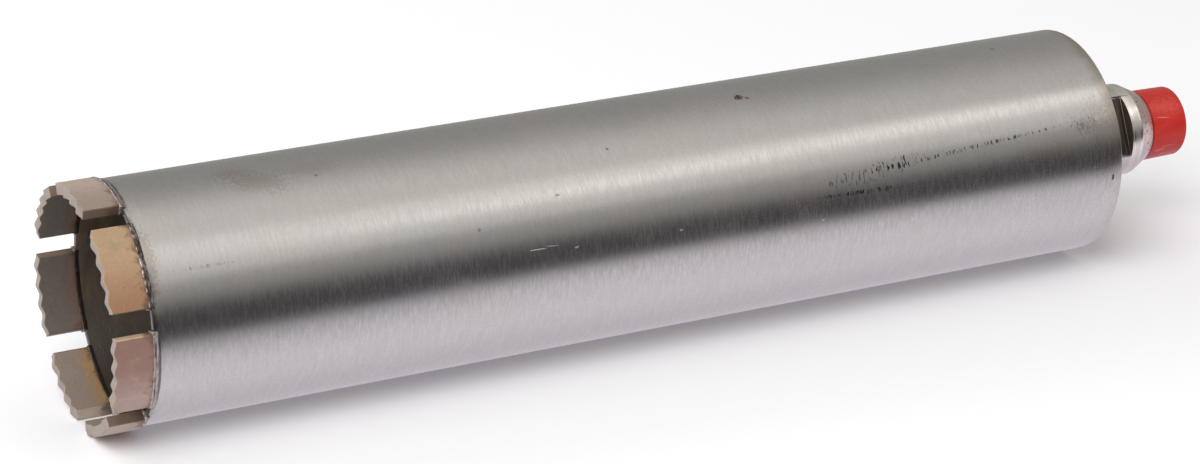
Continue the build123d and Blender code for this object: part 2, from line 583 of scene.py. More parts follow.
def make_surface_mark() -> bpy.types.NodeTree:
    """One soft, ragged or dotted mark on the barrel's skin.

    Returns:
        Group with the mark's station, arc, half length, half width, slope, raggedness and
        dotting in, and Mask out.
    """
    group = Group("surface_mark", ("Station", "Arc", "Half Length", "Half Width", "Slope",
                                   "Ragged", "Dotted"), ("Mask",))
    given = group.given
    x, _, turn = group.polar()
    step = group.minus(x, given["Station"])
    arc = group.minus(group.times(turn, BARREL_OUTER_RADIUS), given["Arc"])
    arc = group.minus(arc, group.times(step, given["Slope"]))
    reach = group.maths("SQRT", group.squares(group.over(step, given["Half Length"]),
                                              group.over(arc, given["Half Width"])))
    grit = group.noise(2600.0, scale=(1.0, 0.45, 0.45))
    torn = group.times(group.minus(grit, 0.5), group.times(given["Ragged"], 6.0))
    solid = group.span(group.add(reach, torn), 0.7, 1.15, 1.0, 0.0)
    ticks = group.noise(1700.0, scale=(1.0, 0.22, 0.22))
    gaps = group.times(given["Dotted"], group.minus(1.0, group.span(ticks, 0.53, 0.60)))
    return group.give(Mask=group.times(solid, group.minus(1.0, gaps)))


def make_mottle() -> bpy.types.NodeTree:
    """Soft patches at two sizes.

    Returns:
        Group with Place, Size and Spread in, and Patch and Speck out. Size is patches per
        metre, and Spread widens or narrows the patches.
    """
    group = Group("mottle", ("Size", "Spread"), ("Patch", "Speck"))
    size, spread = group.given["Size"], group.given["Spread"]
    broad = group.noise(size, 4.0, 0.6)
    small = group.noise(group.times(size, 14.0))
    low = group.minus(0.72, group.times(spread, 0.44))
    return group.give(Patch=group.span(broad, low, group.add(low, 0.22)),
                      Speck=group.span(small, 0.55, 0.75))


BRUSHING = make_brushing()
SURFACE_MARK = make_surface_mark()
MOTTLE = make_mottle()


# ------------------------------------------------------------------ finishes
@dataclass(frozen=True)
class Finish:
    """What every finish has, and the way that its material is made.

    The roughness is a range that a mask of the finish moves through.
    """

    name: str = "finish"
    metallic: float = 0.0
    roughness: Point = (0.5, 0.5)
    specular: float = 0.5

    def surface(self, graph: Graph) -> Surface:
        """Draw the finish.

        Args:
            graph: Graph of the material.

        Returns:
            Colour, roughness and normal.
        """
        raise NotImplementedError

    def rough(self, graph: Graph, mask: object) -> Socket:
        """Roughness that follows a mask through the finish's range."""
        return graph.span(mask, 0.0, 1.0, *self.roughness)

    def material(self) -> Material:
        """Make the finish's material.

        Returns:
            The material, with the finish drawn into its surface shader.
        """
        material = bpy.data.materials.new(self.name)
        material.use_nodes = True
        graph = Graph(material.node_tree)
        shader = graph.found("BSDF_PRINCIPLED")
        shader.inputs["Metallic"].default_value = self.metallic
        shader.inputs["Specular IOR Level"].default_value = self.specular
        for key, value in zip(("Base Color", "Roughness", "Normal"), self.surface(graph)):
            graph.feed(shader.inputs[key], value)
        return material


@dataclass(frozen=True)
class Mark:
    """One stain, scuff or scratch, or a painted shadow or highlight, on a round skin.

    Station and angle place its middle, and the sizes are its full length along the axis
    and its full width round it at the barrel's radius. The slope is its drift round the
    barrel per length, ragged tears its edge, and dotted breaks it into short ticks.
    """

    station: float
    angle: float
    length: float
    width: float
    colour: Colour
    strength: float = 0.8
    ragged: float = 0.4
    slope: float = 0.0
    dotted: float = 0.0

    def cover(self, graph: Graph) -> Socket:
        """Share of the skin that the mark covers.

        Args:
            graph: Graph of the material.

        Returns:
            The mark's mask times its strength.
        """
        mask = graph.use(
            SURFACE_MARK, Place=graph.here, Station=self.station,
            Arc=math.radians(self.angle) * BARREL_OUTER_RADIUS,
            Half_Length=self.length / 2, Half_Width=self.width / 2,
            Slope=self.slope, Ragged=self.ragged, Dotted=self.dotted)["Mask"]
        return graph.times(mask, self.strength)


@dataclass(frozen=True)
class BrushedTube(Finish):
    """Drawn steel, brushed round the axis, stained and scuffed, with some painted shade."""

    name: str = "brushed_tube"
    metallic: float = 1.0
    roughness: Point = (0.205, 0.275)
    steel: Colour = (0.625, 0.605, 0.570)
    dull: Colour = (0.44, 0.42, 0.395)
    warm: Colour = (0.61, 0.55, 0.50)
    cool: Colour = (0.56, 0.555, 0.59)
    heat: Colour = (0.41, 0.30, 0.21)
    flux: Colour = (0.10, 0.085, 0.07)
    scratch_roughness: float = 0.55
    marks: tuple[Mark, ...] = ()

    def surface(self, graph: Graph) -> Surface:
        """Draw the brushed steel with its tints, its marks and its painted shade.

        Args:
            graph: Graph of the material.

        Returns:
            Colour, roughness and normal.
        """
        x, _, turn = graph.polar()
        streak, fine, height = graph.brushing(1400.0, 230.0)
        clouds = graph.mottle(34.0, 0.5)["Patch"]
        tints = graph.mottle(22.0, 0.45, (0.8, 1.0, 1.2))["Patch"]
        bands = graph.noise(120.0, 3.0, scale=(7.0, 1.0, 1.0))
        # Partly painted reflection: brushing streaks everywhere, dulled most along the
        # lower edge of the dark band that the steel reflects.
        streaks_and_painted_band = graph.times(graph.span(turn, 1.35, 1.55, 0.35, 1.0),
                           graph.span(turn, 1.62, 1.90, 0.55, 0.18))
        from_rear = graph.add(x, graph.times(graph.noise(260.0, 3.0), 0.006))
        heat = graph.span(from_rear, BARREL_REAR_X - 0.0022, BARREL_REAR_X + 0.0036)
        # Darker next to the rim: flux residue, and painted contact shade beside the solder
        # beads.
        flux = graph.span(from_rear, BARREL_RIM_X + 0.0026, BARREL_RIM_X + 0.0052, 0.7, 0.0)
        lip = graph.span(x, BARREL_RIM_X + 0.0001, BARREL_RIM_X + 0.0005, 0.8, 0.0)
        colour = graph.coats(
            self.steel,
            (streak, streaks_and_painted_band, self.dull),
            (fine, 0.24, self.dull),
            (graph.span(graph.noise(1300.0), 0.45, 0.75), 0.22, self.dull),
            (graph.span(bands, 0.35, 0.65), 0.16, self.dull),
            (clouds, 0.35, self.warm),
            (tints, 0.45, self.cool),
            (heat, graph.span(turn, 1.0, 1.7, 0.55, 0.165), self.heat),
            (graph.most(flux, lip), 1.0, self.flux))
        worn = graph.add(self.rough(graph, streak), graph.times(clouds, 0.04))
        for mark in self.marks:
            cover = mark.cover(graph)
            colour = graph.blend(cover, colour, mark.colour)
            if min(mark.colour) > PALEST_STAIN:
                worn = graph.add(worn, graph.times(cover, self.scratch_roughness))
        waves = graph.bump(graph.noise(60.0, 1.0), 0.00005, 0.6)
        return colour, worn, graph.bump(height, 0.000003, 0.5, waves)


@dataclass(frozen=True)
class InnerScale(Finish):
    """Mill scale and dried slurry inside the barrel."""

    name: str = "inner_scale"
    metallic: float = 0.3
    roughness: Point = (0.45, 0.7)
    scale: Colour = (0.056, 0.042, 0.034)
    olive: Colour = (0.112, 0.081, 0.048)
    rust: Colour = (0.165, 0.070, 0.040)
    darker_below: Colour = (0.018, 0.013, 0.009)
    dust: Colour = (0.150, 0.121, 0.079)

    def surface(self, graph: Graph) -> Surface:
        """Draw the dark inside of the tube: darker towards the bottom, dustier further in.

        Args:
            graph: Graph of the material.

        Returns:
            Colour, roughness and normal.
        """
        x, _, z = graph.parts()
        broad, grains = graph.mottle(55.0, 0.55, (2.2, 0.8, 0.8))
        small, specks = graph.mottle(170.0, 0.38, (2.2, 0.8, 0.8))
        dusty = graph.span(x, BARREL_RIM_X + 0.003, BARREL_RIM_X + 0.034, 0.08, 0.65)
        # Darker towards the bottom of the inside.
        colour = graph.coats(self.scale, (broad, 1.0, self.olive),
                             (small, 0.65, self.rust),
                             (graph.span(z, -0.030, -0.004, 0.72, 0.0), 1.0, self.darker_below),
                             (dusty, 1.0, self.dust))
        return colour, self.rough(graph, specks), graph.bump(grains, 0.00006, 0.6)


class BondTone(Enum):
    """Colours that the sintered bond takes on from the heat of the joint, and one tone of
    painted shade.
    """

    STONE = (0.435, 0.340, 0.273)
    TAN = (0.41, 0.275, 0.160)
    COPPER = (0.33, 0.175, 0.092)
    MAUVE = (0.270, 0.155, 0.120)
    ROSE = (0.40, 0.290, 0.245)
    ASH = (0.29, 0.225, 0.185)
    OCHRE = (0.375, 0.230, 0.105)
    # Painted shade: the dark tone of inner faces that look down or sideways.
    UMBER = (0.17, 0.115, 0.08)
    SMOKE = (0.145, 0.122, 0.105)
    RUSSET = (0.16, 0.11, 0.085)
    KHAKI = (0.265, 0.220, 0.155)
    RUST = (0.17, 0.085, 0.045)
    BUFF = (0.52, 0.37, 0.225)


@dataclass(frozen=True)
class SegmentLook:
    """Tones of one segment: outside, its stain and veil, an inside painted lit or shaded,
    both ends.
    """

    outer: BondTone = BondTone.STONE
    stain: BondTone = BondTone.ROSE
    veil: BondTone = BondTone.ROSE
    inner: BondTone = BondTone.SMOKE
    inner_foot: BondTone = BondTone.RUSSET
    first_end: BondTone = BondTone.UMBER
    last_end: BondTone = BondTone.UMBER


@dataclass(frozen=True)
class DiamondBond(Finish):
    """Sintered metal bond with diamond grit, tinted unevenly by heat.

    The middle and the half arc, in radians, say where on the crown the segment is.
    """

    name: str = "diamond_bond"
    metallic: float = 0.2
    roughness: Point = (0.5, 0.7)
    look: SegmentLook = SegmentLook()
    middle: float = 0.0
    half_arc: float = 0.35
    ground: Colour = (1.30, 1.28, 1.25)
    soot: Colour = (0.075, 0.055, 0.043)

    def sides(self, graph: Graph, colour: Socket) -> Socket:
        """Colour the inner side and both ends over the outer colour.

        Args:
            graph: Graph of the material.
            colour: Colour of the outer side.

        Returns:
            The colour of all sides.
        """
        x, radius, turn = graph.polar()
        drift = graph.times(graph.noise(420.0, 3.0), 0.004)
        low = graph.span(graph.add(x, drift), SEGMENT_FOOT_X - 0.0035,
                         SEGMENT_FOOT_X + 0.001)
        inside = graph.blend(low, self.look.inner.value, self.look.inner_foot.value)
        lean = graph.minus(turn, self.middle)
        edge, full = (self.half_arc - depth / CROWN_OUTER_RADIUS
                      for depth in (0.0004, 0.0002))
        # The inner faces take the look's inner tone, which is painted light or painted
        # shade by the way they face.
        return graph.coats(
            colour,
            (graph.span(radius, CROWN_INNER_RADIUS + 0.0003, CROWN_INNER_RADIUS + 0.0006,
                        1.0, 0.0), 1.0, inside),
            (graph.span(lean, -full, -edge, 1.0, 0.0), 1.0, self.look.first_end.value),
            (graph.span(lean, edge, full), 1.0, self.look.last_end.value))

    def surface(self, graph: Graph) -> Surface:
        """Draw the bond with its grit, its tints and its sooty foot.

        Args:
            graph: Graph of the material.

        Returns:
            Colour, roughness and normal.
        """
        x, _, turn = graph.polar()
        across = graph.over(graph.minus(turn, self.middle), self.half_arc)
        tint = graph.mottle(120.0, 0.5)["Patch"]
        blots = graph.mottle(310.0, 0.42, (0.7, 1.0, 1.1))["Patch"]
        veils = graph.mottle(190.0, 0.4, (1.0, 1.2, 0.9))["Patch"]
        pits = graph.mottle(480.0, 0.12, (1.0, 1.3, 0.8))["Patch"]
        grit, specks = graph.mottle(900.0, 0.42)
        drift = graph.times(graph.minus(tint, 0.5), 0.5)
        colour = graph.coats(
            self.look.outer.value,
            (graph.span(graph.add(across, drift), -0.7, 0.6), 1.0, self.look.stain.value),
            (blots, 0.4, self.look.stain.value),
            (veils, 0.6, self.look.veil.value))
        colour = graph.blend(graph.times(grit, 0.5), self.sides(graph, colour),
                             self.ground, "MULTIPLY")
        pores = graph.span(graph.noise(1300.0, 4.0, 0.65), 0.54, 0.74)
        corner = graph.maths("POWER", graph.maths("ABSOLUTE", across), 6.0)
        creep = graph.span(graph.noise(380.0, 4.0, 0.6), 0.40, 0.80, 0.0, 0.0028)
        reach = graph.add(x, graph.add(graph.times(corner, 0.0024), creep))
        colour = graph.coats(
            colour,
            (specks, 0.34, self.soot),
            (pores, graph.span(blots, 0.0, 1.0, 0.24, 0.6), self.soot),
            (pits, 0.7, self.soot),
            (graph.span(reach, SEGMENT_FOOT_X - 0.0012, SEGMENT_FOOT_X + 0.0014), 0.6,
             BondTone.RUST.value),
            (graph.span(reach, SEGMENT_FOOT_X - 0.0003, SEGMENT_FOOT_X + 0.0028), 0.75,
             self.soot))
        swell = graph.bump(graph.noise(260.0), 0.0003, 0.5)
        grains = graph.add(graph.cells(1900.0), graph.times(specks, 0.6))
        return colour, self.rough(graph, specks), graph.bump(grains, 0.00005, 0.6, swell)


@dataclass(frozen=True)
class DressedFace(Finish):
    """Freshly dressed cutting face: bare pale bond with grit standing out."""

    name: str = "dressed_face"
    metallic: float = 0.15
    roughness: Point = (0.5, 0.72)
    bond: Colour = (0.36, 0.305, 0.26)
    grit: Colour = (0.22, 0.17, 0.135)

    def surface(self, graph: Graph) -> Surface:
        """Draw the pale cutting face.

        Args:
            graph: Graph of the material.

        Returns:
            Colour, roughness and normal.
        """
        patch, specks = graph.mottle(150.0, 0.5)
        colour = graph.coats(self.bond, (patch, 0.5, self.grit), (specks, 0.45, self.grit))
        grains = graph.cells(1500.0)
        return colour, self.rough(graph, specks), graph.bump(grains, 0.00009, 0.8)


@dataclass(frozen=True)
class SilverSolder(Finish):
    """Silver solder as it flowed, with black glassy flux over part of it.

    The cover spreads the flux, and tarnished is the strength of the brown patches.
    """

    name: str = "silver_solder"
    metallic: float = 0.85
    roughness: Point = (0.36, 0.55)
    cover: float = 0.5
    tarnished: float = 0.7
    silver: Colour = (0.50, 0.43, 0.40)
    flux: Colour = (0.046, 0.031, 0.023)
    tarnish: Colour = (0.22, 0.140, 0.100)

    def surface(self, graph: Graph) -> Surface:
        """Draw the solder with flux and tarnish.

        Args:
            graph: Graph of the material.

        Returns:
            Colour, roughness and normal.
        """
        x, radius, _ = graph.polar()
        runs, drips = graph.mottle(900.0, self.cover, (1.5, 0.8, 0.8))
        patch = graph.mottle(260.0, 0.5)["Patch"]
        wander = graph.add(x, graph.times(graph.noise(300.0, 3.0), 0.0016))
        off_rim = graph.maths("ABSOLUTE", graph.minus(wander, BARREL_RIM_X + 0.0008))
        seam = graph.times(graph.span(off_rim, 0.0001, 0.00035, 0.9, 0.0),
                           graph.span(graph.noise(240.0, 3.0), 0.40, 0.56, 0.25, 1.0))
        hidden = graph.span(radius, BARREL_INNER_RADIUS, BARREL_INNER_RADIUS + 0.0004,
                            0.75, 0.0)
        flux = graph.most(graph.most(graph.times(runs, 0.92), hidden), seam)
        colour = graph.coats(self.silver, (patch, self.tarnished, self.tarnish),
                             (flux, 1.0, self.flux))
        return colour, self.rough(graph, patch), graph.bump(drips, 0.00005, 0.5)


@dataclass(frozen=True)
class TurnedSteel(Finish):
    """Lathe-turned steel with fine tool lines round the axis."""

    name: str = "turned_steel"
    metallic: float = 1.0
    roughness: Point = (0.18, 0.34)
    steel: Colour = (0.78, 0.74, 0.70)
    dull: Colour = (0.55, 0.52, 0.49)
    grime_and_shade: Colour = (0.14, 0.11, 0.085)
    # Painted reflection of the red cap: the cone is warmed and brightened.
    cone: Colour = (1.12, 0.98, 0.93)
    # Painted highlight: the collar band is brightened.
    band: Colour = (1.20, 1.18, 1.13)
    # Painted shade: the underside is darkened and tinted.
    under: Colour = (0.80, 0.775, 0.80)
    shade: float = 0.0
    grimy: float = 0.18

    def surface(self, graph: Graph) -> Surface:
        """Draw the turned steel, its cone's dark specks, and its painted highlight,
        reflection and shade.

        Args:
            graph: Graph of the material.

        Returns:
            Colour, roughness and normal.
        """
        x, _, turn = graph.polar()
        streak, _, height = graph.brushing(2300.0, 30.0)
        patch = graph.mottle(130.0, 0.35)["Patch"]
        colour = graph.coats(self.steel, (graph.span(streak, 0.0, 1.0), 0.5, self.dull),
                             (patch, self.grimy, self.grime_and_shade))
        on_cone = graph.span(x, CONE_START_X - 0.0003, CONE_START_X)
        on_band = graph.span(x, CONE_START_X - 0.0042, CONE_START_X - 0.0038)
        # Painted highlight on the collar band, and painted red reflection of the cap on the
        # cone.
        colour = graph.blend(on_band, colour,
                             graph.blend(on_cone, self.band, self.cone), "MULTIPLY")
        # Painted shade on the underside.
        colour = graph.blend(graph.span(turn, 1.45, 1.85, 0.0, self.shade), colour,
                             self.under, "MULTIPLY")
        specks = graph.noise(900.0, scale=(1.0, 1.4, 1.0))
        # Painted contact shadow on the steel at the cap's mouth, in the grime colour.
        mouth = graph.span(x, SHOULDER_X - 0.0007, SHOULDER_X - 0.0001)
        colour = graph.coats(colour,
                             (graph.span(specks, 0.62, 0.68), on_cone, self.grime_and_shade),
                             (mouth, 0.75, self.grime_and_shade))
        return colour, self.rough(graph, streak), graph.bump(height, 0.00001, 0.8)


@dataclass(frozen=True)
class OilAndReflectionRecess(Finish):
    """Milled faces with bare corners round a dark lens of oil, scale and painted wall
    reflection.

    The lens starts at its station, is as wide as twice its half width there, and closes
    after its length. The angle is the direction that the faces look.
    """

    name: str = "oil_and_reflection_recess"
    metallic: float = 0.75
    roughness: Point = (0.34, 0.5)
    station: float = 0.0
    length: float = 0.012
    half_width: float = 0.0098
    angle: float = 0.0
    bare: Colour = (0.52, 0.48, 0.46)
    # Colour of the dark lens: old oil and scale, and a painted reflection of the end wall.
    scale: Colour = (0.048, 0.040, 0.035)
    edge: Colour = (0.125, 0.100, 0.070)
    wall: Colour = (0.165, 0.122, 0.090)

    def surface(self, graph: Graph) -> Surface:
        """Draw the dark milled faces with paler tool lines.

        Args:
            graph: Graph of the material.

        Returns:
            Colour, roughness and normal.
        """
        x, y, z = graph.parts()
        turn = math.radians(self.angle)
        across = graph.add(graph.times(y, -math.cos(turn)), graph.times(z, -math.sin(turn)))
        reach = graph.squares(graph.over(across, self.half_width),
                              graph.over(graph.minus(x, self.station), self.length))
        streak, fine, height = graph.brushing(1500.0, 60.0)
        bare = graph.span(graph.add(reach, graph.times(fine, 0.1)), 0.92, 1.08)
        # The dark lens is old oil and scale, and a painted reflection of the dark end wall
        # in the flat.
        colour = graph.coats(
            self.scale,
            (graph.span(streak, 0.45, 1.0), 1.0, self.edge),
            (graph.span(x, CONE_START_X - 0.0044, CONE_START_X - 0.0041), 1.0, self.wall),
            (bare, 1.0, self.bare))
        return colour, self.rough(graph, fine), graph.bump(height, 0.00002, 0.6)


@dataclass(frozen=True)
class WeldMetal(Finish):
    """Weld run with heat tint and a little spatter grime."""

    name: str = "weld_metal"
    metallic: float = 0.95
    roughness: Point = (0.3, 0.5)
    metal: Colour = (0.46, 0.43, 0.40)
    straw: Colour = (0.40, 0.27, 0.15)
    blue: Colour = (0.17, 0.18, 0.24)

    def surface(self, graph: Graph) -> Surface:
        """Draw the heat-tinted weld.

        Args:
            graph: Graph of the material.

        Returns:
            Colour, roughness and normal.
        """
        straw, specks = graph.mottle(90.0, 0.6)
        blue = graph.mottle(120.0, 0.35, (1.3, 1.1, 0.9))["Patch"]
        colour = graph.coats(self.metal, (straw, 0.6, self.straw), (blue, 0.5, self.blue))
        return colour, self.rough(graph, specks), graph.bump(specks, 0.00005, 0.5)


@dataclass(frozen=True)
class MouldedPlastic(Finish):
    """Soft moulded plastic with flow patches, a few moulding marks and a painted highlight.
    """

    name: str = "moulded_plastic"
    roughness: Point = (0.33, 0.44)
    specular: float = 0.30
    colour: Colour = (0.49, 0.019, 0.013)
    faded: Colour = (0.60, 0.040, 0.030)
    shade: Colour = (0.10, 0.006, 0.004)
    marks: tuple[Mark, ...] = (
        Mark(0.0042, 60.8, 0.0050, 0.0013, (0.72, 0.20, 0.15), 0.85, 0.08, 0.4),
        Mark(0.0040, 118.6, 0.0034, 0.0040, (0.72, 0.22, 0.17), 0.45, 0.35, -0.4),
        Mark(0.0064, 112.0, 0.0060, 0.0020, (0.66, 0.15, 0.11), 0.4, 0.3),
        # Painted highlight: a soft paler patch where the lamp's reflection lies.
        Mark(0.0060, 40.0, 0.0130, 0.0160, (0.62, 0.085, 0.060), 0.5, 0.9),
    )

    def surface(self, graph: Graph) -> Surface:
        """Draw the plastic, shaded where its mouth meets the metal.

        Args:
            graph: Graph of the material.

        Returns:
            Colour, roughness and normal.
        """
        flow = graph.mottle(140.0, 0.55, (0.5, 1.0, 1.0))["Patch"]
        colour = graph.coats(self.colour, (flow, 0.7, self.faded))
        raised = 0.0
        for mark in self.marks:
            cover = mark.cover(graph)
            colour = graph.blend(cover, colour, mark.colour)
            raised = graph.add(raised, cover)
        mouth = graph.span(graph.parts()[0], SHOULDER_X + 0.0001, SHOULDER_X + 0.0006,
                           0.8, 0.0)
        skin = graph.bump(graph.noise(700.0, 3.0), 0.00004, 0.5)
        colour = graph.blend(mouth, colour, self.shade)
        return colour, self.rough(graph, flow), graph.bump(raised, 0.00015, 0.8, skin)


@dataclass(frozen=True)
class PaleFloor(Finish):
    """Matt floor of the studio."""

    name: str = "pale_floor"
    roughness: Point = (0.9, 0.9)
    specular: float = 0.0
    colour: Colour = (0.93, 0.925, 0.94)

    def surface(self, graph: Graph) -> tuple[Colour, float]:
        """Plain colour and roughness of the floor."""
        return self.colour, self.roughness[0]


# ------------------------------------------------------------------ makers
class Maker:
    """A sub-assembly that builds its pieces and dresses them."""

    def finish_piece(self, piece: Piece, slot: str, node: str, *finishes: Material,
                     second: Callable[[bpy.types.MeshPolygon], bool] | None = None) -> None:
        """Give a piece its materials and its body, and hide the CAD node that it stands
        for.

        Args:
            piece: The finished mesh object.
            slot: Not used.
            node: The CAD node that the piece stands for.
            *finishes: Its material, and a second one for some faces.
            second: Says of a face whether it wears the second material.
        """
        piece.data.materials.clear()
        for material in finishes:
            piece.data.materials.append(material)
        if second is not None:
            for face in piece.data.polygons:
                face.material_index = int(second(face))
        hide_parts(node)
        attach(piece, BODY)
        log.info("%s: %d faces, for %s", piece.name, len(piece.data.polygons), node)


@dataclass
class Barrel(Maker):
    """Thin tube that carries the crown, brushed outside and scaled inside.

    The lining is how far past the inner radius a face still counts as the inside.
    """

    outer_radius: float = BARREL_OUTER_RADIUS
    inner_radius: float = BARREL_INNER_RADIUS
    rim_break: float = 0.00025
    lining: float = 0.0003
    steps: int = 256
    rings: int = 64
    marks: tuple[Mark, ...] = (
        Mark(-0.1503, 11.8, 0.0030, 0.0026, (0.10, 0.040, 0.028), 0.9, 0.5),
        Mark(-0.1480, 13.6, 0.0014, 0.0016, (0.16, 0.075, 0.055), 0.7, 0.5),
        Mark(-0.2002, 32.6, 0.0011, 0.0009, (0.13, 0.10, 0.08), 0.7, 0.3),
        Mark(-0.2205, 52.0, 0.0016, 0.0007, (0.15, 0.13, 0.11), 0.6, 0.3),
        Mark(-0.2466, 62.0, 0.0014, 0.0012, (0.16, 0.14, 0.12), 0.5, 0.3),
        Mark(-0.2295, 75.6, 0.0060, 0.00035, SCRATCH, 0.55, 0.15, 0.02),
        Mark(-0.2250, 75.1, 0.0045, 0.00030, SCRATCH, 0.45, 0.15, 0.10),
        Mark(-0.2173, 77.7, 0.0018, 0.0005, SCRATCH, 0.45, 0.3, -0.10),
        Mark(-0.1833, 78.4, 0.0012, 0.0007, SCUFF, 0.35, 0.4),
        Mark(-0.1361, 85.9, 0.0010, 0.0007, SCUFF, 0.35, 0.3),
        Mark(-0.3285, 57.1, 0.0190, 0.0012, (0.20, 0.18, 0.155), 0.5, 0.4, 0.02, 0.9),
        Mark(-0.0848, 63.5, 0.0780, 0.0013, (0.045, 0.040, 0.034), 0.85, 0.25, -0.0604,
             1.0),
        Mark(-0.1085, 64.4, 0.0150, 0.0042, (0.040, 0.034, 0.030), 0.95, 0.45, -0.05, 1.0),
        Mark(-0.1230, 68.2, 0.0240, 0.0040, (0.06, 0.05, 0.045), 0.6, 0.6, -0.03, 1.0),
        Mark(-0.1194, 75.5, 0.0360, 0.0014, (0.035, 0.031, 0.028), 0.85, 0.3, 0.028, 0.95),
        Mark(-0.0412, 61.2, 0.0090, 0.0046, (0.14, 0.125, 0.11), 0.65, 0.7, 0.0, 0.7),
        Mark(-0.0321, 90.8, 0.0009, 0.0022, (0.03, 0.025, 0.02), 0.95, 0.1),
        Mark(-0.0577, 4.2, 0.0013, 0.0010, (0.13, 0.10, 0.08), 0.6, 0.3),
        Mark(-0.2880, 19.4, 0.0012, 0.0010, (0.13, 0.11, 0.09), 0.6, 0.3),
        Mark(-0.3440, 50.0, 0.0052, 0.0210, (0.30, 0.235, 0.17), 0.38, 0.5),
        # Painted contact shadows: the two thin dark lines beside the solder beads, next to
        # the rim.
        Mark(-0.3439, 103.0, 0.0008, 0.0240, (0.07, 0.055, 0.05), 0.75, 0.10),
        Mark(-0.3441, 2.0, 0.0008, 0.0240, (0.09, 0.07, 0.06), 0.70, 0.15),
        Mark(-0.0800, 97.0, 0.0400, 0.0100, (0.50, 0.48, 0.46), 0.35, 0.7),
        Mark(-0.3050, 17.0, 0.0160, 0.0100, (0.40, 0.30, 0.255), 0.40, 0.6, 0.2),
        Mark(-0.3110, 8.0, 0.0110, 0.0070, (0.42, 0.32, 0.275), 0.35, 0.6),
        Mark(-0.2880, 14.0, 0.0160, 0.0060, (0.44, 0.35, 0.31), 0.30, 0.6),
        Mark(-0.0520, 72.0, 0.0300, 0.0060, (0.40, 0.34, 0.27), 0.30, 0.6),
        Mark(-0.0345, 70.0, 0.0110, 0.0200, (0.42, 0.335, 0.26), 0.42, 0.8),
        Mark(-0.0480, 95.0, 0.0300, 0.0180, (0.46, 0.44, 0.42), 0.30, 0.8),
    )

    def build(self) -> None:
        """Turn the tube, break its edges and dress both sides."""
        outside = [(x, self.outer_radius)
                   for x in spaced(BARREL_RIM_X, BARREL_REAR_X, self.rings)]
        inside = [(x, self.inner_radius)
                  for x in (BARREL_REAR_X, PLATE_FRONT_X, BARREL_RIM_X)]
        tube = Bench.turned("barrel_tube", outside + inside, self.steps)
        Bench.soften(tube, self.rim_break, 3, 60.0)
        Bench.smooth(tube, 40.0)
        lining = self.inner_radius + self.lining
        self.finish_piece(
            tube, "barrel_steel", "barrel", BrushedTube(marks=self.marks).material(),
            InnerScale().material(),
            second=lambda face: math.hypot(face.center.y, face.center.z) < lining)


